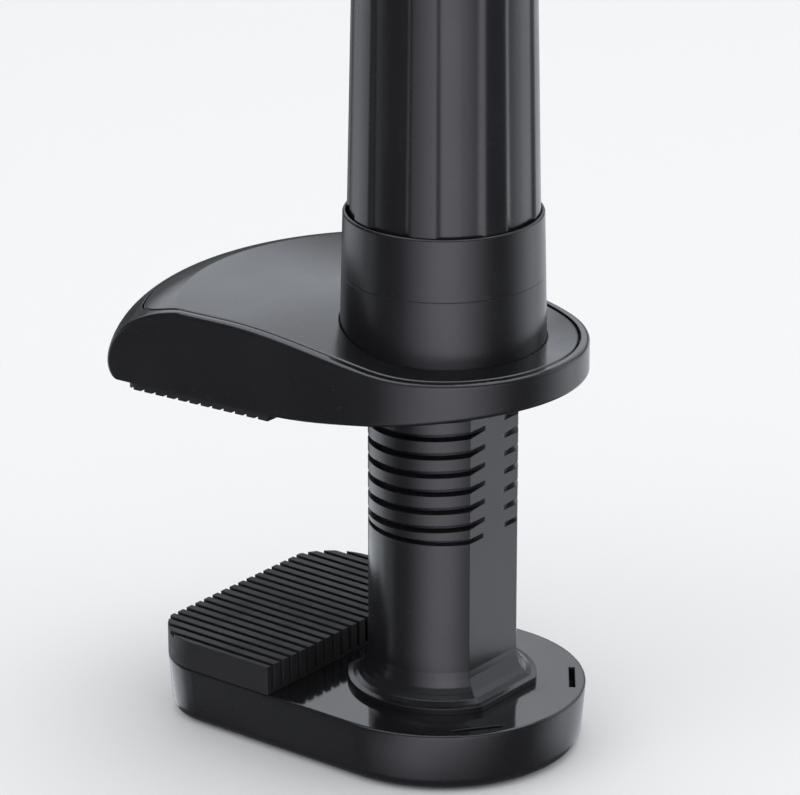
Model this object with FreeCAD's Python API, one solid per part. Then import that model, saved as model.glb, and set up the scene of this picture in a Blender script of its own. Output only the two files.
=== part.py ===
import FreeCAD, Part
import math
import os

# Desk clamp of a phone holder: two jaws on a threaded post, closed by turning the fluted hand grip.
# Millimetres. +Z runs up the post axis, +Y points from the post to the desk edge, z = 0 is the lower
# jaw's bottom face.

V = FreeCAD.Vector
UP = V(0, 0, 1)

# Fits
running_gap = 0.25
slip_gap = 0.1
seam_gap = 0.3
cut_margin = 5.0
tiny = 0.01

# Screw heads
screw_slot_share = 0.17

# Lower jaw
lower_radius = 26.5
lower_height = 11.3
lower_front_centre = 12.0
lower_front_radius = 42.0
lower_corner = 12.0
lower_wall = 4.5
lower_top_wall = 4.0
lower_draft = 0.9
lower_edge_round = 2.5
lower_rim_round = 0.5
slot_radius = 23.9
slot_angle = 53.0
slot_length = 9.0
slot_width = 1.1
slot_depth = 3.0
cover_boss_radius = 4.0
cover_boss_y = 36.0
base_plate = 2.0
base_screw_shank = 1.5
base_screw_head = 3.0
base_screw_head_height = 1.4
base_screw_length = 7.0

# Threaded post
post_radius = 13.6
flat_distance = 11.6
post_length = 96.7
thread_start_height = 32.6
thread_pitch = 3.5
thread_depth = 1.7
groove_width = 1.35
groove_root_width = 0.85
thread_flank_gap = 0.2
relief_drop = 0.6
relief_width = 0.9
relief_depth = 1.6
foot_spread = 3.8
foot_brim = 1.2
foot_rise = 5.4
foot_steps = 6
spigot_radius = 7.0
post_screw_circle = 10.5
post_screw_count = 4
post_screw_shank = 1.75
post_screw_head = 3.2
post_screw_head_height = 2.4
post_screw_grip = 12.0
stop_washer_radius = 13.2
stop_washer_thickness = 1.6
stop_screw_shank = 2.5
stop_screw_head = 4.6
stop_screw_head_height = 2.6
stop_screw_length = 14.0

# Lower pad
lower_pad_y0 = 19.8
lower_pad_length = 29.7
lower_pad_height = 5.5
lower_pad_seat = 1.0
pad_edge = 0.6
pad_rib_pitch = 2.5
pad_groove_width = 1.0
pad_groove_depth = 0.7

# Upper jaw
desk_gap = 48.5
disc_radius = 26.25
disc_thickness = 6.1
jaw_flare = 5.0
jaw_front_centre = 12.0
jaw_front_radius = 51.5
jaw_corner = 1.5
blade_rise = 4.1
blade_drop = 5.6
rise_start = -12.0
rise_end = 28.0
drop_start = -30.0
drop_end = 18.5
rise_bend_share = 0.35
drop_bend_share = 0.30
nose_flat_radius = 34.0
nose_overrun = 4.0
nose_height = 0.4
nose_lift = 3.4
nose_tuck = 2.0
jaw_rim_round = 0.8
rim_width = 1.9
cover_front_radius = 45.0
cover_corner = 9.0
cover_thickness = 1.8
cover_edge_round = 0.5
blade_floor = 2.6
pocket_y0 = 23.0
pocket_y1 = 45.0
pocket_half_width = 21.0
pocket_rib = 2.4
pocket_corner = 2.0
pillar_radius = 2.8
pillar_x = 11.5
pillar_y = 34.0
jaw_screw_shank = 1.25
jaw_screw_head = 2.3
jaw_screw_head_height = 1.2
jaw_screw_length = 8.0

# Upper pad
upper_pad_y0 = 18.6
upper_pad_margin = 0.9
upper_pad_front_radius = 47.5
upper_pad_corner = 3.0
upper_pad_seat = 1.2
upper_pad_stand = 1.3
upper_pad_groove_width = 0.8
upper_pad_groove_depth = 0.45

# Collar
boss_base_radius = 18.6
collar_radius = 18.0
boss_height = 12.3
collar_ring_height = 11.5
collar_rim_round = 0.5
collar_rim_wall = 0.5
seat_depth = 3.0
ring_room = 3.4

# Grip, thread sleeve and arm socket
neck_radius = 15.5
neck_seat_height = 5.8
sleeve_turns = 4
sleeve_spigot_radius = 14.95
sleeve_spigot_length = 12.0
washer_thickness = 1.0
ring_thickness = 1.2
ring_groove = 0.65
ring_proud = 1.3
grip_radius = 17.3
grip_waist_radius = 16.45
grip_taper_length = 38.8
grip_plain_length = 31.1
grip_bore = 14.5
grip_bottom_round = 0.5
flute_count = 8
flute_start_angle = 2.5
flute_depth = 0.5
flute_waist_depth = 0.42
flute_floor_width = 6.7
flute_side_angle = 76.0
socket_flange = 3.0
socket_round = 1.2
socket_plug_length = 20.0
socket_bore_radius = 8.0
socket_bore_depth = 18.0

# Places that follow from the sizes above
pad_top = lower_height + lower_pad_height
post_top = lower_height + post_length
thread_bottom = lower_height + thread_start_height
upper_pad_bottom = pad_top + desk_gap
blade_base = upper_pad_bottom + upper_pad_stand
jaw_base = blade_base + blade_drop
disc_top = jaw_base + disc_thickness
blade_top = disc_top + blade_rise
collar_seam = disc_top + boss_height
collar_top = collar_seam + collar_ring_height
neck_bottom = jaw_base + neck_seat_height
post_root = post_radius - thread_depth
bore_radius = post_radius + running_gap
neck_bore = neck_radius + running_gap
washer_seat = collar_top - seat_depth
grip_bottom = washer_seat + washer_thickness + slip_gap
grip_waist = collar_top + grip_taper_length
grip_top = grip_waist + grip_plain_length
ring_top = collar_seam - running_gap


def cylinder(radius, z0, z1, x=0.0, y=0.0):
    return Part.makeCylinder(radius, z1 - z0, V(x, y, z0), UP)


def tube(outer, inner, z0, z1):
    return cylinder(outer, z0, z1).cut(cylinder(inner, z0 - cut_margin, z1 + cut_margin))


def box(x0, x1, y0, y1, z0, z1):
    return Part.makeBox(x1 - x0, y1 - y0, z1 - z0, V(x0, y0, z0))


def arc(start, middle, end):
    return Part.Arc(start, middle, end).toShape()


def line(start, end):
    return Part.LineSegment(start, end).toShape()


def prism(wire, z0, z1):
    face = Part.Face(wire)
    face.translate(V(0, 0, z0))
    return face.extrude(V(0, 0, z1 - z0))


def revolve(points):
    """Turn a closed outline of (radius, height) points about the post axis."""
    outline = [V(radius, 0, z) for radius, z in points]
    return Part.Face(Part.makePolygon(outline + outline[:1])).revolve(V(0, 0, 0), UP, 360)


def edges_where(shape, test):
    return [edge for edge in shape.Edges if test(edge.BoundBox)]


def jaw_outline(back_radius, flare, front_centre, front_radius, corner):
    """Round back, sides flared by an angle, round corners and a bowed front; symmetric about Y."""
    slope = math.radians(flare)
    normal = V(math.cos(slope), -math.sin(slope), 0)
    # The corner's centre lies one corner radius inside both the side line and the front arc.
    tangent = math.tan(slope)
    offset = (back_radius - corner) / math.cos(slope)
    reach = front_radius - corner
    a = 1 + tangent ** 2
    b = offset * tangent - front_centre
    c = offset ** 2 + front_centre ** 2 - reach ** 2
    centre_y = (-b + math.sqrt(b * b - a * c)) / a
    centre = V(offset + tangent * centre_y, centre_y, 0)
    front = V(0, front_centre, 0)
    outward = (centre - front).normalize()
    side_start = normal * back_radius
    side_end = centre + normal * corner
    corner_middle = centre + (normal + outward).normalize() * corner
    corner_end = front + outward * front_radius

    def mirrored(point):
        return V(-point.x, point.y, point.z)

    return Part.Wire([
        arc(mirrored(side_start), V(0, -back_radius, 0), side_start),
        line(side_start, side_end),
        arc(side_end, corner_middle, corner_end),
        arc(corner_end, front + V(0, front_radius, 0), mirrored(corner_end)),
        arc(mirrored(corner_end), mirrored(corner_middle), mirrored(side_end)),
        line(mirrored(side_end), mirrored(side_start)),
    ])


def post_section(radius, flat, z):
    """Round section with a flat towards the desk and one away from it."""
    half = math.sqrt(radius ** 2 - flat ** 2)
    right_front, right_back = V(half, flat, z), V(half, -flat, z)
    left_front, left_back = V(-half, flat, z), V(-half, -flat, z)
    return Part.Wire([
        arc(right_back, V(radius, 0, z), right_front),
        line(right_front, left_front),
        arc(left_front, V(-radius, 0, z), left_back),
        line(left_back, right_back),
    ])


def screw(x, y, head_z, head_radius, head_height, shank_radius, length, up=1):
    """Pan head whose bearing face is at head_z, with the shank running up or down from it."""
    shank = Part.makeCylinder(shank_radius, length, V(x, y, head_z), UP * up)
    head = Part.makeCylinder(head_radius, head_height, V(x, y, head_z), UP * -up)
    half = head_radius * screw_slot_share
    slot = box(x - head_radius, x + head_radius, y - half, y + half, 0, head_height / 2)
    slot.translate(V(0, 0, head_z - head_height if up > 0 else head_z + head_height / 2))
    return head.fuse(shank).cut(slot)


def helix_body(z0, turns, outer, inner, outer_width, inner_width):
    """Trapezoid swept along the right-hand thread helix, from z0 upwards."""
    path = Part.makeLongHelix(thread_pitch, turns * thread_pitch, outer, 0.0)
    corners = [V(outer, 0, -outer_width / 2), V(outer, 0, outer_width / 2),
               V(inner, 0, inner_width / 2), V(inner, 0, -inner_width / 2)]
    profile = Part.makePolygon(corners + corners[:1])
    swept = Part.Wire(path.Edges).makePipeShell([profile], True, True)
    swept.translate(V(0, 0, z0))
    return swept


def lower_outline(inset):
    return jaw_outline(lower_radius - inset, 0.0, lower_front_centre, lower_front_radius - inset,
                       lower_corner - inset)


def lower_pad_block(inset, z0, z1):
    block = prism(lower_outline(inset), z0, z1)
    return block.common(box(-lower_radius, lower_radius, lower_pad_y0 + inset,
                            lower_pad_y0 + lower_pad_length - inset, z0, z1))


def post_screw_places():
    for index in range(post_screw_count):
        angle = math.radians(360 / post_screw_count * (index + 0.5))
        yield post_screw_circle * math.cos(angle), post_screw_circle * math.sin(angle)


def make_lower_jaw():
    sole, brow = lower_outline(lower_draft), lower_outline(0)
    brow.translate(V(0, 0, lower_height))
    jaw = Part.makeLoft([sole, brow], True, True)
    jaw = jaw.makeFillet(lower_edge_round, edges_where(jaw, lambda b: b.ZMax < tiny))
    jaw = jaw.makeFillet(lower_rim_round, edges_where(jaw, lambda b: b.ZMin > lower_height - tiny))
    cavity = prism(lower_outline(lower_wall), -cut_margin, lower_height - lower_top_wall)
    boss = cylinder(cover_boss_radius, base_plate, lower_height - lower_top_wall, 0, cover_boss_y)
    jaw = jaw.cut(cavity).fuse(boss)
    jaw = jaw.cut(cylinder(base_screw_shank, 0, base_plate + base_screw_length, 0, cover_boss_y))
    jaw = jaw.cut(cylinder(spigot_radius + slip_gap, 0, lower_height + cut_margin))
    for x, y in post_screw_places():
        jaw = jaw.cut(cylinder(post_screw_shank + slip_gap, 0, lower_height + cut_margin, x, y))
    for side in (-1, 1):
        slot = box(-slot_length / 2, slot_length / 2, -slot_width / 2, slot_width / 2,
                   lower_height - slot_depth, lower_height + cut_margin)
        slot.translate(V(0, -slot_radius, 0))
        slot.rotate(V(0, 0, 0), UP, side * (90 - slot_angle))
        jaw = jaw.cut(slot)
    seat = lower_pad_block(rim_width, lower_height - lower_pad_seat, lower_height + cut_margin)
    return jaw.cut(seat).removeSplitter()


def make_base_cover():
    plate = prism(lower_outline(lower_wall + slip_gap), 0, base_plate)
    plate = plate.cut(cylinder(base_screw_shank + slip_gap, -cut_margin, cut_margin, 0, cover_boss_y))
    head_room = cylinder(base_screw_head + slip_gap, -cut_margin, base_screw_head_height, 0, cover_boss_y)
    return plate.cut(head_room)


def make_lower_pad():
    pad = lower_pad_block(0.0, lower_height, pad_top)
    pad = pad.fuse(lower_pad_block(rim_width + slip_gap, lower_height - lower_pad_seat, lower_height))
    front = lower_pad_y0
    first = -math.floor(lower_radius / pad_rib_pitch) * pad_rib_pitch
    count = int(2 * lower_radius / pad_rib_pitch) + 1
    for index in range(count):
        x = first + index * pad_rib_pitch
        half = pad_groove_width / 2
        pad = pad.cut(box(x - half, x + half, front - cut_margin, front + lower_pad_length + cut_margin,
                          pad_top - pad_groove_depth, pad_top + cut_margin))
        pad = pad.cut(box(x - half, x + half, front - cut_margin, front + pad_groove_depth,
                          lower_height + pad_edge, pad_top + cut_margin))
    return pad.removeSplitter()


def foot_section(share):
    """Section of the foot's hollow flare at a share of its rise."""
    angle = math.radians(90 * share)
    spread = foot_spread * (1 - math.sin(angle))
    height = lower_height + foot_brim + foot_rise * (1 - math.cos(angle))
    return post_section(post_radius + spread, flat_distance + spread, height)


def make_post():
    post = prism(post_section(post_radius, flat_distance, 0), lower_height, post_top)
    brim = prism(post_section(post_radius + foot_spread, flat_distance + foot_spread, 0),
                 lower_height, lower_height + foot_brim)
    flare = Part.makeLoft([foot_section(step / foot_steps) for step in range(foot_steps + 1)], True, True)
    post = post.fuse([brim, flare, cylinder(spigot_radius, lower_height - lower_top_wall, lower_height)])
    turns = (post_top - thread_bottom) / thread_pitch + 1
    groove = helix_body(thread_bottom, turns, post_radius + running_gap, post_root, groove_width,
                        groove_root_width)
    relief = thread_bottom - relief_drop
    post = post.cut(groove).cut(tube(post_radius + cut_margin, post_radius - relief_depth,
                                     relief - relief_width / 2, relief + relief_width / 2))
    for x, y in post_screw_places():
        post = post.cut(cylinder(post_screw_shank, 0, lower_height + post_screw_grip, x, y))
    stop_hole = post_top - stop_screw_length
    return post.cut(cylinder(stop_screw_shank, stop_hole, post_top + cut_margin)).removeSplitter()


def make_post_screws():
    top_wall = lower_height - lower_top_wall
    return Part.makeCompound([
        screw(x, y, top_wall, post_screw_head, post_screw_head_height, post_screw_shank,
              lower_top_wall + post_screw_grip) for x, y in post_screw_places()])


def side_band(low, high):
    """Long slab across X whose top and underside follow the jaw's side profile, moved by low and high."""
    far = lower_radius + jaw_front_radius
    bend_up = (rise_end - rise_start) * rise_bend_share
    bend_down = (drop_end - drop_start) * drop_bend_share

    def at(y, z):
        return V(-far, y, z)

    def ease(y0, z0, y1, z1, bend):
        sign = math.copysign(bend, y1 - y0)
        curve = Part.BezierCurve()
        curve.setPoles([at(y0, z0), at(y0 + sign, z0), at(y1 - sign, z1), at(y1, z1)])
        return curve.toShape()

    base, blade = jaw_base + low, blade_base + low
    disc, crown = disc_top + high, blade_top + high
    wire = Part.Wire([
        line(at(-far, base), at(drop_start, base)),
        ease(drop_start, base, drop_end, blade, bend_down),
        line(at(drop_end, blade), at(far, blade)),
        line(at(far, blade), at(far, crown)),
        line(at(far, crown), at(rise_end, crown)),
        ease(rise_end, crown, rise_start, disc, bend_up),
        line(at(rise_start, disc), at(-far, disc)),
        line(at(-far, disc), at(-far, base)),
    ])
    return Part.Face(wire).extrude(V(2 * far, 0, 0))


def quarter_ellipse(centre, end_x, end_z):
    """Quarter of an upright ellipse between a point beside its centre and one above or below it."""
    long_x = abs(end_x.x - centre.x) >= abs(end_z.z - centre.z)
    ellipse = Part.Ellipse(end_x if long_x else end_z, end_z if long_x else end_x, centre)
    return Part.Edge(ellipse, 0, math.pi / 2)


def nose_dome(drop):
    """Solid of revolution about the front arc's centre that rounds the nose down to the side wall."""
    level = blade_base + nose_lift - drop
    floor = blade_base - 2 * cut_margin
    rim = V(jaw_front_radius, 0, level)
    top = V(nose_flat_radius, 0, blade_top + nose_height - drop)
    toe = V(jaw_front_radius - nose_tuck, 0, level - nose_lift)
    sole = V(toe.x, 0, floor)
    wire = Part.Wire([
        quarter_ellipse(V(top.x, 0, level), rim, top),
        line(top, V(0, 0, top.z)),
        line(V(0, 0, top.z), V(0, 0, floor)),
        line(V(0, 0, floor), sole),
        line(sole, toe),
        quarter_ellipse(V(toe.x, 0, level), rim, toe),
    ])
    dome = Part.Face(wire).revolve(V(0, 0, 0), UP, 360)
    dome.translate(V(0, jaw_front_centre, 0))
    return dome


def jaw_blank(lowered=0.0):
    """Outer form of the upper jaw, or the same form lowered to leave a cover's thickness above it."""
    low, high = blade_base - 2 * cut_margin, blade_top + cut_margin
    outline = jaw_outline(disc_radius, jaw_flare, jaw_front_centre, jaw_front_radius + nose_overrun,
                          jaw_corner)
    blank = prism(outline, low, high).common(side_band(-lowered, -lowered))
    return blank.common(nose_dome(lowered))


def cover_prism(gap):
    outline = jaw_outline(disc_radius - rim_width + gap, jaw_flare, jaw_front_centre,
                          cover_front_radius + gap, cover_corner + gap)
    return prism(outline, blade_base, blade_top + cut_margin)


def upper_pad_prism(inset, z0, z1):
    outline = jaw_outline(disc_radius - upper_pad_margin - inset, jaw_flare, jaw_front_centre,
                          upper_pad_front_radius - inset, upper_pad_corner - inset)
    span = lower_radius + jaw_front_radius
    return prism(outline, z0, z1).common(box(-span, span, upper_pad_y0 + inset, span, z0, z1))


def pillar_places():
    return [(-pillar_x, pillar_y), (pillar_x, pillar_y)]


def make_upper_jaw(blank):
    jaw = blank.makeFillet(jaw_rim_round, rim_edges(blank))
    seat = cover_prism(seam_gap).cut(jaw_blank(cover_thickness))
    pocket_floor = blade_base + upper_pad_seat + blade_floor
    for side in (-1, 1):
        inner, outer = sorted((side * pocket_rib / 2, side * pocket_half_width))
        pocket = box(inner, outer, pocket_y0, pocket_y1, pocket_floor, blade_top + cut_margin)
        corner_edges = edges_where(pocket, lambda b: b.ZLength > cut_margin)
        jaw = jaw.cut(pocket.makeFillet(pocket_corner, corner_edges))
    jaw = jaw.cut(seat)
    boss = Part.makeCone(boss_base_radius, collar_edge(collar_seam), collar_seam - disc_top,
                         V(0, 0, disc_top), UP)
    root = cylinder(boss_base_radius, jaw_base + disc_thickness / 2, disc_top)
    jaw = jaw.fuse([boss, root])
    jaw = jaw.cut(cylinder(neck_bore, neck_bottom - running_gap, collar_seam + cut_margin))
    jaw = jaw.cut(cylinder(neck_radius + ring_proud + running_gap, collar_seam - ring_room,
                           collar_seam + cut_margin))
    key = post_section(post_radius + running_gap, flat_distance + running_gap, 0)
    jaw = jaw.cut(prism(key, blade_base - cut_margin, neck_bottom))
    jaw = jaw.cut(upper_pad_prism(0, blade_base - cut_margin, blade_base + upper_pad_seat))
    for x, y in pillar_places():
        jaw = jaw.cut(cylinder(jaw_screw_shank + slip_gap, blade_base, pocket_floor + cut_margin, x, y))
        jaw = jaw.cut(cylinder(jaw_screw_head + slip_gap, blade_base,
                               blade_base + upper_pad_seat + jaw_screw_head_height, x, y))
    return jaw.removeSplitter()


def is_upright(face, point):
    return abs(face.normalAt(*face.Surface.parameter(point)).z) < tiny


def rim_edges(blank):
    """Edges round the top of the side wall, where it meets the top face or the nose."""
    chosen = []
    for edge in blank.Edges:
        middle = edge.valueAt((edge.FirstParameter + edge.LastParameter) / 2)
        faces = blank.ancestorsOfType(edge, Part.Face)
        walls = [face for face in faces if is_upright(face, middle)]
        if len(walls) == 1 and middle.z > jaw_base:
            if middle.z > walls[0].CenterOfGravity.z:
                chosen.append(edge)
    return chosen


def collar_edge(z):
    """Outer radius of the collar's slight cone at a height."""
    share = (z - disc_top) / (collar_top - disc_top)
    return boss_base_radius + (collar_radius - boss_base_radius) * share


def make_jaw_cover(blank):
    cover = cover_prism(0).common(blank)
    cover = cover.makeFillet(cover_edge_round, rim_edges(cover)).cut(jaw_blank(cover_thickness))
    cover = cover.cut(cylinder(boss_base_radius + slip_gap, jaw_base, collar_seam))
    pocket_floor = blade_base + upper_pad_seat + blade_floor
    for x, y in pillar_places():
        pillar = cylinder(pillar_radius, pocket_floor, blade_top - cover_thickness / 2, x, y)
        pilot = cylinder(jaw_screw_shank, pocket_floor - cut_margin,
                         pocket_floor + jaw_screw_length, x, y)
        cover = cover.fuse(pillar).cut(pilot)
    return cover.removeSplitter()


def make_jaw_screws():
    bearing = blade_base + upper_pad_seat + jaw_screw_head_height
    return Part.makeCompound([
        screw(x, y, bearing, jaw_screw_head, jaw_screw_head_height, jaw_screw_shank, jaw_screw_length)
        for x, y in pillar_places()])


def make_upper_pad():
    pad = upper_pad_prism(0, upper_pad_bottom, blade_base)
    pad = pad.fuse(upper_pad_prism(slip_gap, blade_base, blade_base + upper_pad_seat))
    reach = jaw_front_centre + upper_pad_front_radius
    span = lower_radius + jaw_front_radius
    y = upper_pad_y0 + pad_rib_pitch
    half = upper_pad_groove_width / 2
    while y < reach - upper_pad_groove_width:
        pad = pad.cut(box(-span, span, y - half, y + half, upper_pad_bottom - cut_margin,
                          upper_pad_bottom + upper_pad_groove_depth))
        y += pad_rib_pitch
    return pad.removeSplitter()


def make_collar_ring():
    ring = Part.makeCone(collar_edge(collar_seam), collar_radius, collar_top - collar_seam,
                         V(0, 0, collar_seam), UP)
    ring = ring.makeFillet(collar_rim_round, edges_where(ring, lambda b: b.ZMin > collar_top - tiny))
    ring = ring.cut(cylinder(neck_bore, collar_seam - cut_margin, collar_top + cut_margin))
    return ring.cut(cylinder(collar_radius - collar_rim_wall, washer_seat, collar_top + cut_margin))


def make_thrust_washer():
    return tube(grip_radius - slip_gap, neck_bore, washer_seat, washer_seat + washer_thickness)


def make_thread_sleeve():
    sleeve = cylinder(neck_radius, neck_bottom, grip_bottom)
    sleeve = sleeve.fuse(cylinder(sleeve_spigot_radius, grip_bottom, grip_bottom + sleeve_spigot_length))
    sleeve = sleeve.cut(cylinder(bore_radius, neck_bottom - cut_margin,
                                 grip_bottom + sleeve_spigot_length + cut_margin))
    groove = tube(neck_radius + cut_margin, neck_radius - ring_groove, ring_top - ring_thickness, ring_top)
    sleeve = sleeve.cut(groove)
    skipped = math.ceil((neck_bottom + thread_pitch / 2 - thread_bottom) / thread_pitch)
    ridge = helix_body(thread_bottom + skipped * thread_pitch, sleeve_turns - 1,
                       bore_radius + ring_groove, post_root + running_gap,
                       groove_width - thread_flank_gap, groove_root_width - thread_flank_gap)
    return sleeve.fuse(ridge).removeSplitter()


def make_retaining_ring():
    ring = tube(neck_radius + ring_proud, neck_radius - ring_groove + slip_gap / 2,
                ring_top - ring_thickness, ring_top)
    mouth = 2 * ring_thickness
    return ring.cut(box(-mouth, mouth, 0, grip_radius, ring_top - cut_margin, ring_top + cut_margin))


def flute_wedge(floor_radius, z):
    """Outline of a flute's wedge whose sides leave the round floor at its width."""
    half = flute_floor_width / 2
    outer = grip_radius + cut_margin
    spread = math.tan(math.radians(flute_side_angle))
    apex = math.sqrt(floor_radius ** 2 - half ** 2) - half / spread
    wing = (outer - apex) * spread
    return Part.makePolygon([V(apex, 0, z), V(outer, wing, z), V(outer, -wing, z), V(apex, 0, z)])


def flute_cutter(angle):
    """Round-bottomed panel with sloping sides, deeper at the collar than at the waist."""
    low, high = grip_radius - flute_depth, grip_waist_radius - flute_waist_depth
    outer = grip_radius + cut_margin
    bottom, top = grip_bottom - cut_margin, grip_top + cut_margin
    shell = revolve([(low, bottom), (low, collar_top), (high, grip_waist), (high, top), (outer, top),
                     (outer, bottom)])
    taper = Part.makeLoft([flute_wedge(low, collar_top), flute_wedge(high, grip_waist)], True, True)
    wedge = taper.fuse([prism(flute_wedge(low, 0), bottom, collar_top),
                        prism(flute_wedge(high, 0), grip_waist, top)])
    cutter = shell.common(wedge)
    cutter.rotate(V(0, 0, 0), UP, angle)
    return cutter


def make_hand_grip():
    grip = revolve([(grip_bore, grip_bottom), (grip_radius - grip_bottom_round, grip_bottom),
                    (grip_radius, grip_bottom + grip_bottom_round), (grip_radius, collar_top),
                    (grip_waist_radius, grip_waist), (grip_waist_radius, grip_top), (grip_bore, grip_top)])
    grip = grip.cut(cylinder(sleeve_spigot_radius + slip_gap / 2, grip_bottom - cut_margin,
                             grip_bottom + sleeve_spigot_length))
    for index in range(flute_count):
        grip = grip.cut(flute_cutter(flute_start_angle + 360 / flute_count * index))
    return grip.removeSplitter()


def make_arm_socket():
    flange = cylinder(grip_waist_radius, grip_top, grip_top + socket_flange)
    flange = flange.makeFillet(socket_round, edges_where(flange, lambda b: b.ZMin > grip_top + tiny))
    plug = cylinder(grip_bore - slip_gap / 2, grip_top - socket_plug_length, grip_top)
    top = grip_top + socket_flange
    return flange.fuse(plug).cut(cylinder(socket_bore_radius, top - socket_bore_depth, top + cut_margin))


jaw_form = jaw_blank().removeSplitter()

nodes = {
    "lower_jaw": make_lower_jaw(),
    "base_cover": make_base_cover(),
    "base_screw": screw(0, cover_boss_y, base_screw_head_height, base_screw_head, base_screw_head_height,
                        base_screw_shank, base_screw_length),
    "lower_pad": make_lower_pad(),
    "clamp_post": make_post(),
    "post_screws": make_post_screws(),
    "stop_washer": tube(stop_washer_radius, stop_screw_shank + slip_gap, post_top,
                        post_top + stop_washer_thickness),
    "stop_screw": screw(0, 0, post_top + stop_washer_thickness, stop_screw_head, stop_screw_head_height,
                        stop_screw_shank, stop_screw_length, up=-1),
    "upper_jaw": make_upper_jaw(jaw_form),
    "jaw_cover": make_jaw_cover(jaw_form),
    "jaw_screws": make_jaw_screws(),
    "upper_pad": make_upper_pad(),
    "collar_ring": make_collar_ring(),
    "thrust_washer": make_thrust_washer(),
    "hand_grip": make_hand_grip(),
    "thread_sleeve": make_thread_sleeve(),
    "retaining_ring": make_retaining_ring(),
    "arm_socket": make_arm_socket(),
}

os.makedirs("parts", exist_ok=True)
for name, shape in nodes.items():
    shape.exportStep(os.path.join("parts", name + ".step"))
    print(name, len(shape.Solids), "solid", shape.isValid(), round(shape.Volume), "mm3")
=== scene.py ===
import math

import bpy
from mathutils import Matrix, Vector

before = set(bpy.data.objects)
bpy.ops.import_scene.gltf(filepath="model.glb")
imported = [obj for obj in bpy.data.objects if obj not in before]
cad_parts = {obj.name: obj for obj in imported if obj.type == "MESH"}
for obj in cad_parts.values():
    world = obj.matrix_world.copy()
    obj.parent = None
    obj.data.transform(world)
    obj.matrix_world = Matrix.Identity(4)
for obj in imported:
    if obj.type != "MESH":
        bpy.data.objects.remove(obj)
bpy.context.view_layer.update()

# Camera, from the photograph
CAMERA_PLACE = (-0.60758, -0.46806, 0.35599)
CAMERA_DOWN = 20.70
CAMERA_TURN = -51.81
CAMERA_LENS = 204.85
CAMERA_SENSOR = 36.0

# Floor and world
FLOOR_COLOR = (0.80, 0.81, 0.82, 1)
FLOOR_ROUGHNESS = 0.9
FLOOR_SIZE = 60.0
FLOOR_DROP = 0.0003
WORLD_COLOR = (1, 1, 1, 1)
WORLD_LEVEL = 0.10
WORLD_FILL = 0.85

# Upright light cards, curved round the object: ends in degrees right of the camera, lower and upper edge
# in degrees above the horizon, strength, tint, and the degrees over which each end fades
CARD_DISTANCE = 0.9
CARD_STEPS = 40
CRISP = 0.1
FRONT_TINT = (0.98, 0.955, 1.08, 1)
BACK_TINT = (0.95, 0.995, 1.07, 1)
CARDS = (
    ("card_front", (-49, 56), (-18, 28), 2.45, FRONT_TINT, (44, 44)),
    ("card_front_middle", (-60, 48), (-21, -18), 2.3, FRONT_TINT, (40, 60)),
    ("card_front_post", (-51, 56), (-27, -21), 2.15, FRONT_TINT, (44, 44)),
    ("card_front_low", (-74, 46), (-39, -27), 1.7, FRONT_TINT, (50, 65)),
    ("card_front_foot", (-74, 46), (-55, -39), 0.3, FRONT_TINT, (50, 65)),
    ("card_left", (-102, -82), (-32, 4), 0.55, BACK_TINT, (CRISP, CRISP)),
    ("card_left_back", (-160, -102), (-19, 4), 1.15, BACK_TINT, (30, CRISP)),
    ("card_left_low", (-160, -102), (-32, -19), 1.75, BACK_TINT, (CRISP, CRISP)),
    ("card_right", (74, 128), (-32, 45), 1.42, BACK_TINT, (32, CRISP)),
    ("card_right_back", (128, 178), (-32, 4), 1.1, BACK_TINT, (CRISP, CRISP)),
    ("card_back", (135, 225), (22, 48), 1.4, BACK_TINT, (CRISP, CRISP)),
    ("card_back_edge", (135, 225), (19, 22), 0.9, BACK_TINT, (CRISP, CRISP)),
    ("card_back_low", (135, 225), (16, 19), 0.5, BACK_TINT, (CRISP, CRISP)),
    ("card_back_foot", (135, 225), (5, 16), 0.2, BACK_TINT, (CRISP, CRISP)),
)

# Round light card above the object
TOP_CARD_TURN = 180
TOP_CARD_UP = 80
TOP_CARD_DISTANCE = 1.0
TOP_CARD_RADIUS = 0.65
TOP_CARD_STRENGTH = 2.7
TOP_CARD_STEPS = 32

# Lamps: degrees right of the camera, degrees above the horizon, distance, size and power
LAMPS = (
    ("lamp_top", 150, 72, 1.4, 1.2, 4.4),
    ("lamp_left", -60, 40, 1.3, 0.9, 2.2),
    ("lamp_right", 70, 35, 1.3, 0.9, 1.7),
)

# Colours of the plastics, the rubber and the zinc-plated steel
BLACK = (0.0085, 0.0085, 0.0098, 1)
BLACK_WORN = (0.035, 0.035, 0.038, 1)
DUST = (0.16, 0.16, 0.155, 1)
RUBBER = (0.0075, 0.0075, 0.0080, 1)
RUBBER_WORN = (0.020, 0.020, 0.021, 1)
GREY = (0.060, 0.060, 0.064, 1)
GREY_WORN = (0.11, 0.11, 0.115, 1)
ZINC = (0.43, 0.43, 0.44, 1)
ZINC_DULL = (0.22, 0.215, 0.21, 1)

# Gloss of the plastics and the rubber, as refractive index
PLASTIC_IOR = 1.5
COVER_IOR = 1.62
RUBBER_IOR = 1.45

# Wear of the plastics: shares by which rubbed edges and scratches lighten the colour, changes of roughness by
# smudges, patches, scratches and dust, and the scale of the hairline scratches along x, y and z
RUBBED_SHARE = 0.45
SCRATCH_SHARE = 0.10
SMUDGE_SMOOTHER = 0.035
SMUDGE_DULLER = 0.055
PATCH_DULLER = 0.03
SCRATCH_DULLER = 0.05
DUST_DULLER = 0.4
HAIRLINE_SCALE = (1.0, 9.0, 22.0)

# Share by which the rubber's edges are paler, and the scale of the steel's brush marks along x, y and z
RUBBER_EDGE_SHARE = 0.5
BRUSH_SCALE = (1.0, 1.0, 0.08)

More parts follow.
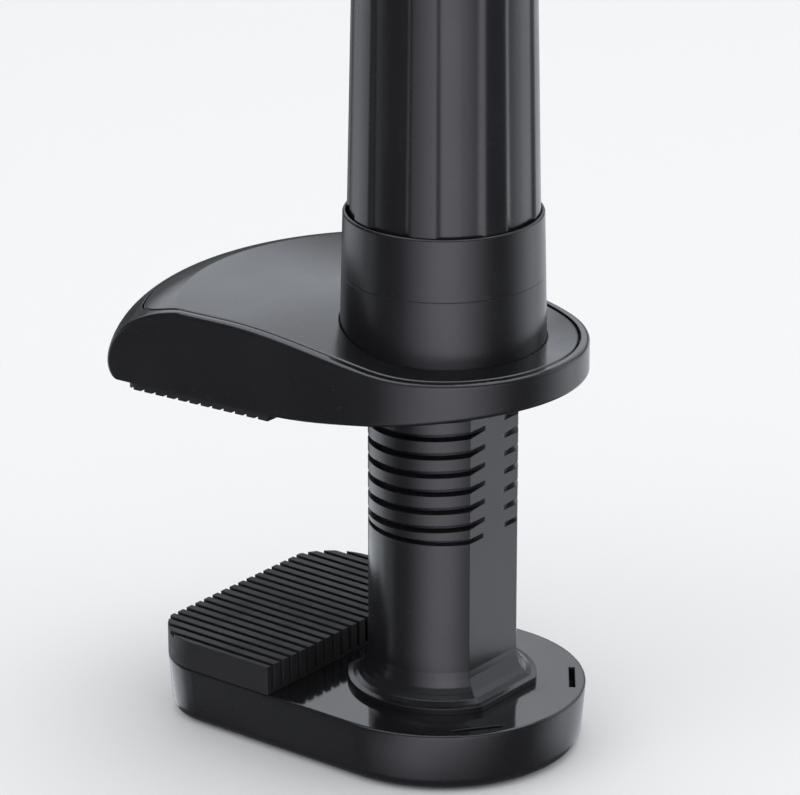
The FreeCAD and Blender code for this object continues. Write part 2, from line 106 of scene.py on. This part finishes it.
# Slight bulges, in the shading only: axis, middle and radius
BASE_WALL_BOW = ("Z", 0.007, 0.06)
COVER_BOW = ("X", 0.0, 0.27)

# Cosine between a face and its rounded shading normal, where an edge begins and where it is full, and the
# upward part of the normal, where a face begins to look up and where it does so fully
EDGE_FROM = 0.99
EDGE_FULL = 0.82
UP_FROM = 0.55
UP_FULL = 0.95
BEVEL_SAMPLES = 6


class Nodes:
    """Short way to build one material's node tree."""

    def __init__(self, name):
        self.material = bpy.data.materials.new(name)
        self.material.use_nodes = True
        self.tree = self.material.node_tree
        self.shader = self.tree.nodes["Principled BSDF"]
        self.place = self.tree.nodes.new("ShaderNodeTexCoord").outputs["Object"]

    def add(self, kind, **settings):
        node = self.tree.nodes.new(kind)
        for key, value in settings.items():
            setattr(node, key, value)
        return node

    def link(self, source, target):
        self.tree.links.new(source, target)

    def stretched(self, scale):
        mapping = self.add("ShaderNodeMapping")
        mapping.inputs["Scale"].default_value = scale
        self.link(self.place, mapping.inputs["Vector"])
        return mapping.outputs["Vector"]

    def noise(self, scale, detail, rough, vector=None):
        node = self.add("ShaderNodeTexNoise")
        node.inputs["Scale"].default_value = scale
        node.inputs["Detail"].default_value = detail
        node.inputs["Roughness"].default_value = rough
        self.link(vector or self.place, node.inputs["Vector"])
        return node.outputs["Fac"]

    def spread(self, value, low, high, to_low=0.0, to_high=1.0):
        node = self.add("ShaderNodeMapRange", clamp=True, interpolation_type="SMOOTHSTEP")
        node.inputs["From Min"].default_value = low
        node.inputs["From Max"].default_value = high
        node.inputs["To Min"].default_value = to_low
        node.inputs["To Max"].default_value = to_high
        self.link(value, node.inputs["Value"])
        return node.outputs["Result"]

    def math(self, operation, first, second):
        node = self.add("ShaderNodeMath", operation=operation)
        for socket, value in zip(node.inputs, (first, second)):
            if isinstance(value, (int, float)):
                socket.default_value = value
            else:
                self.link(value, socket)
        return node.outputs[0]

    def mix(self, share, first, second):
        node = self.add("ShaderNodeMix", data_type="RGBA")
        self.link(share, node.inputs["Factor"])
        for socket, value in ((node.inputs["A"], first), (node.inputs["B"], second)):
            if isinstance(value, tuple):
                socket.default_value = value
            else:
                self.link(value, socket)
        return node.outputs["Result"]

    def bump(self, height, strength, distance, normal):
        node = self.add("ShaderNodeBump")
        node.inputs["Strength"].default_value = strength
        node.inputs["Distance"].default_value = distance
        self.link(height, node.inputs["Height"])
        self.link(normal, node.inputs["Normal"])
        return node.outputs["Normal"]

    def bowed(self, axis, middle, radius, normal):
        """Shading normal of a face that bulges a little along one axis."""
        parts = self.add("ShaderNodeSeparateXYZ")
        self.link(self.place, parts.inputs["Vector"])
        off = self.math("SUBTRACT", parts.outputs[axis], middle)
        sag = self.math("MULTIPLY", self.math("MULTIPLY", off, off), -0.5 / radius)
        return self.bump(sag, strength=1.0, distance=1.0, normal=normal)

    def rounded(self, radius):
        """Shading normal that rounds the edges."""
        bevel = self.add("ShaderNodeBevel", samples=BEVEL_SAMPLES)
        bevel.inputs["Radius"].default_value = radius
        return bevel.outputs["Normal"]

    def edge_mask(self, rounded):
        """Mask that is 1 on the rounded edges."""
        geometry = self.add("ShaderNodeNewGeometry")
        dot = self.add("ShaderNodeVectorMath", operation="DOT_PRODUCT")
        self.link(rounded, dot.inputs[0])
        self.link(geometry.outputs["Normal"], dot.inputs[1])
        return self.spread(dot.outputs["Value"], EDGE_FROM, EDGE_FULL)

    def facing_up(self):
        """Mask that is 1 on faces that look up."""
        geometry = self.add("ShaderNodeNewGeometry")
        parts = self.add("ShaderNodeSeparateXYZ")
        self.link(geometry.outputs["Normal"], parts.inputs["Vector"])
        return self.spread(parts.outputs["Z"], UP_FROM, UP_FULL)


def plastic(name, roughness, grain, grain_scale, edge, color=BLACK, worn=BLACK_WORN, gloss=PLASTIC_IOR,
            polish=0.0, bow=None):
    """Moulded plastic: fine grain, handling marks, hairline scratches, a little dust and rubbed edges.

    Faces that look up are smoother by polish, and bow is the axis, middle and radius of a slight bulge.
    """
    n = Nodes(name)
    rounded = n.rounded(edge)
    edges = n.edge_mask(rounded)
    if bow:
        rounded = n.bowed(*bow, rounded)
    smudges = n.noise(scale=38.0, detail=4.0, rough=0.6)
    patches = n.noise(scale=140.0, detail=3.0, rough=0.5)
    hairlines = n.noise(scale=60.0, detail=2.0, rough=0.5, vector=n.stretched(HAIRLINE_SCALE))
    specks = n.noise(scale=2600.0, detail=1.0, rough=0.5)
    grain_noise = n.noise(scale=grain_scale, detail=2.0, rough=0.6)
    up = n.facing_up()
    scratch = n.spread(hairlines, low=0.66, high=0.74)
    rubbed = n.math("MULTIPLY", edges, n.spread(patches, low=0.35, high=0.75))
    dust = n.math("MULTIPLY", up, n.spread(specks, low=0.70, high=0.80, to_high=0.22))

    tone = n.mix(n.math("MULTIPLY", rubbed, RUBBED_SHARE), color, worn)
    tone = n.mix(n.math("MULTIPLY", scratch, SCRATCH_SHARE), tone, worn)
    tone = n.mix(dust, tone, DUST)
    n.link(tone, n.shader.inputs["Base Color"])

    dull = n.spread(smudges, low=0.30, high=0.72, to_low=roughness - SMUDGE_SMOOTHER,
                    to_high=roughness + SMUDGE_DULLER)
    dull = n.math("ADD", dull, n.math("MULTIPLY", patches, PATCH_DULLER))
    dull = n.math("ADD", dull, n.math("MULTIPLY", scratch, SCRATCH_DULLER))
    dull = n.math("ADD", dull, n.math("MULTIPLY", dust, DUST_DULLER))
    dull = n.math("SUBTRACT", dull, n.math("MULTIPLY", up, polish))
    n.link(dull, n.shader.inputs["Roughness"])

    sink = n.bump(smudges, strength=0.05, distance=0.0004, normal=rounded)
    n.link(n.bump(grain_noise, strength=grain, distance=0.00004, normal=sink), n.shader.inputs["Normal"])
    n.shader.inputs["IOR"].default_value = gloss
    return n.material


def rubber():
    """Ribbed pads: porous matt rubber with blotches, paler edges and a little lint."""
    n = Nodes("pad_rubber_look")
    rounded = n.rounded(radius=0.00025)
    edges = n.edge_mask(rounded)
    blotches = n.noise(scale=90.0, detail=4.0, rough=0.6)
    pores = n.noise(scale=3200.0, detail=2.0, rough=0.6)
    crumbs = n.noise(scale=1500.0, detail=1.0, rough=0.5)
    lint = n.math("MULTIPLY", n.facing_up(), n.spread(crumbs, low=0.68, high=0.80, to_high=0.25))
    tone = n.mix(n.spread(blotches, low=0.30, high=0.75, to_high=0.5), RUBBER, RUBBER_WORN)
    tone = n.mix(n.math("MULTIPLY", edges, RUBBER_EDGE_SHARE), tone, RUBBER_WORN)
    tone = n.mix(lint, tone, DUST)
    n.link(tone, n.shader.inputs["Base Color"])
    dull = n.spread(blotches, low=0.25, high=0.75, to_low=0.52, to_high=0.72)
    n.link(dull, n.shader.inputs["Roughness"])
    n.link(n.bump(pores, strength=0.25, distance=0.00006, normal=rounded), n.shader.inputs["Normal"])
    n.shader.inputs["IOR"].default_value = RUBBER_IOR
    return n.material


def zinc_steel():
    """Screws, stop and snap ring: brushed zinc plating with duller spots."""
    n = Nodes("screw_steel_look")
    rounded = n.rounded(radius=0.00015)
    brush = n.noise(scale=900.0, detail=3.0, rough=0.6, vector=n.stretched(BRUSH_SCALE))
    spots = n.noise(scale=420.0, detail=4.0, rough=0.65)
    tone = n.mix(n.spread(spots, low=0.45, high=0.75, to_high=0.7), ZINC, ZINC_DULL)
    n.link(tone, n.shader.inputs["Base Color"])
    dull = n.spread(brush, low=0.25, high=0.75, to_low=0.26, to_high=0.48)
    n.link(dull, n.shader.inputs["Roughness"])
    n.link(n.bump(brush, strength=0.10, distance=0.00004, normal=rounded), n.shader.inputs["Normal"])
    n.shader.inputs["Metallic"].default_value = 1.0
    return n.material


def dress(material, *names):
    for name in names:
        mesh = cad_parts[name].data
        mesh.materials.clear()
        mesh.materials.append(material)


dress(plastic("base_plastic_look", roughness=0.27, grain=0.10, grain_scale=1500.0, edge=0.00035,
              polish=0.19, bow=BASE_WALL_BOW),
      "lower_jaw", "base_cover")
dress(plastic("jaw_plastic_look", roughness=0.27, grain=0.10, grain_scale=1500.0, edge=0.00035, polish=0.19),
      "upper_jaw")
dress(plastic("cover_plastic_look", roughness=0.15, grain=0.06, grain_scale=1200.0, edge=0.00040,
              gloss=COVER_IOR, bow=COVER_BOW),
      "jaw_cover")
dress(plastic("collar_plastic_look", roughness=0.26, grain=0.12, grain_scale=1700.0, edge=0.00030),
      "collar_ring", "arm_socket")
dress(plastic("grip_plastic_look", roughness=0.24, grain=0.12, grain_scale=1700.0, edge=0.00100),
      "hand_grip")
dress(plastic("post_plastic_look", roughness=0.24, grain=0.12, grain_scale=1600.0, edge=0.00025),
      "clamp_post")
dress(plastic("bearing_plastic_look", roughness=0.42, grain=0.15, grain_scale=1400.0, edge=0.00020,
              color=GREY, worn=GREY_WORN),
      "thrust_washer", "thread_sleeve")
dress(rubber(), "lower_pad", "upper_pad")
dress(zinc_steel(), "base_screw", "post_screws", "stop_washer", "stop_screw", "jaw_screws", "retaining_ring")


def towards(turn, up, distance):
    """Point seen from the floor under the post, by degrees right of the camera and above the horizon."""
    camera_side = Vector((CAMERA_PLACE[0], CAMERA_PLACE[1], 0)).normalized()
    right = Vector((-camera_side.y, camera_side.x, 0))
    level = camera_side * math.cos(math.radians(turn)) + right * math.sin(math.radians(turn))
    rise = math.radians(up)
    return level * math.cos(rise) * distance + Vector((0, 0, math.sin(rise) * distance))


def card_look(name, strength, color):
    """Glow that follows the share stored in each point of the card."""
    material = bpy.data.materials.new(name)
    material.use_nodes = True
    tree = material.node_tree
    tree.nodes.clear()
    share = tree.nodes.new("ShaderNodeAttribute")
    share.attribute_name = "glow"
    level = tree.nodes.new("ShaderNodeMath")
    level.operation = "MULTIPLY"
    level.inputs[1].default_value = strength
    tree.links.new(share.outputs["Fac"], level.inputs[0])
    glow = tree.nodes.new("ShaderNodeEmission")
    glow.inputs["Color"].default_value = color
    tree.links.new(level.outputs[0], glow.inputs["Strength"])
    output = tree.nodes.new("ShaderNodeOutputMaterial")
    tree.links.new(glow.outputs[0], output.inputs["Surface"])
    material.cycles.emission_sampling = "NONE"
    return material


def stage_card(name, points, faces, glow, strength, color):
    """Light card seen only in reflections; glow is each point's share of the strength."""
    mesh = bpy.data.meshes.new(name)
    mesh.from_pydata(points, [], faces)
    mesh.attributes.new("glow", "FLOAT", "POINT").data.foreach_set("value", glow)
    mesh.materials.append(card_look(name + "_look", strength, color))
    made = bpy.data.objects.new(name, mesh)
    bpy.context.scene.collection.objects.link(made)
    made.visible_camera = False
    made.visible_diffuse = False
    made.visible_transmission = False
    made.visible_shadow = False


def upright_card(name, ends, edges, strength, color, fades):
    turn_from, turn_to = ends
    fade_from, fade_to = fades
    points, faces, glow = [], [], []
    for step in range(CARD_STEPS + 1):
        turn = turn_from + (turn_to - turn_from) * step / CARD_STEPS
        foot = towards(turn, 0, CARD_DISTANCE)
        for up in edges:
            points.append((foot.x, foot.y, CARD_DISTANCE * math.tan(math.radians(up))))
            glow.append(min(1, (turn - turn_from) / fade_from, (turn_to - turn) / fade_to))
        if step:
            faces.append((2 * step - 2, 2 * step, 2 * step + 1, 2 * step - 1))
    stage_card(name, points, faces, glow, strength, color)


def top_card():
    middle = towards(TOP_CARD_TURN, TOP_CARD_UP, TOP_CARD_DISTANCE)
    points = []
    for step in range(TOP_CARD_STEPS):
        angle = math.tau * step / TOP_CARD_STEPS
        x = middle.x + TOP_CARD_RADIUS * math.cos(angle)
        y = middle.y + TOP_CARD_RADIUS * math.sin(angle)
        points.append((x, y, middle.z))
    face = tuple(range(TOP_CARD_STEPS))
    stage_card("card_top", points, [face], [1.0] * TOP_CARD_STEPS, TOP_CARD_STRENGTH, BACK_TINT)


def lamp(name, turn, up, distance, size, power):
    """Soft lamp, aimed at the floor under the post, that isn't seen in reflections."""
    light = bpy.data.lights.new(name, "AREA")
    light.shape = "DISK"
    light.size = size
    light.energy = power
    made = bpy.data.objects.new(name, light)
    bpy.context.scene.collection.objects.link(made)
    made.location = towards(turn, up, distance)
    made.rotation_euler = (-made.location).to_track_quat("-Z", "Y").to_euler()
    made.visible_glossy = False
    made.visible_camera = False


for card_values in CARDS:
    upright_card(*card_values)
top_card()
for lamp_values in LAMPS:
    lamp(*lamp_values)

# Floor
half = FLOOR_SIZE / 2
corners = [(x, y, -FLOOR_DROP) for x, y in ((-half, -half), (half, -half), (half, half), (-half, half))]
floor_mesh = bpy.data.meshes.new("floor")
floor_mesh.from_pydata(corners, [], [(0, 1, 2, 3)])
floor = bpy.data.objects.new("floor", floor_mesh)
bpy.context.scene.collection.objects.link(floor)
floor_look = Nodes("floor_look")
floor_look.shader.inputs["Base Color"].default_value = FLOOR_COLOR
floor_look.shader.inputs["Roughness"].default_value = FLOOR_ROUGHNESS
floor_mesh.materials.append(floor_look.material)
floor.visible_glossy = False

# World: a low level in reflections, and a soft fill for matt surfaces
world = bpy.data.worlds.new("studio")
bpy.context.scene.world = world
world.use_nodes = True
sky = world.node_tree.nodes["Background"]
sky.inputs["Color"].default_value = WORLD_COLOR
path = world.node_tree.nodes.new("ShaderNodeLightPath")
fill = world.node_tree.nodes.new("ShaderNodeMapRange")
fill.inputs["To Min"].default_value = WORLD_LEVEL
fill.inputs["To Max"].default_value = WORLD_FILL
world.node_tree.links.new(path.outputs["Is Diffuse Ray"], fill.inputs["Value"])
world.node_tree.links.new(fill.outputs["Result"], sky.inputs["Strength"])

# Camera
camera_data = bpy.data.cameras.new("camera")
camera_data.lens = CAMERA_LENS
camera_data.sensor_width = CAMERA_SENSOR
camera = bpy.data.objects.new("camera", camera_data)
bpy.context.scene.collection.objects.link(camera)
camera.location = CAMERA_PLACE
camera.rotation_euler = (math.radians(90 - CAMERA_DOWN), 0, math.radians(CAMERA_TURN))
bpy.context.scene.camera = camera
bpy.context.scene.view_settings.view_transform = "Standard"
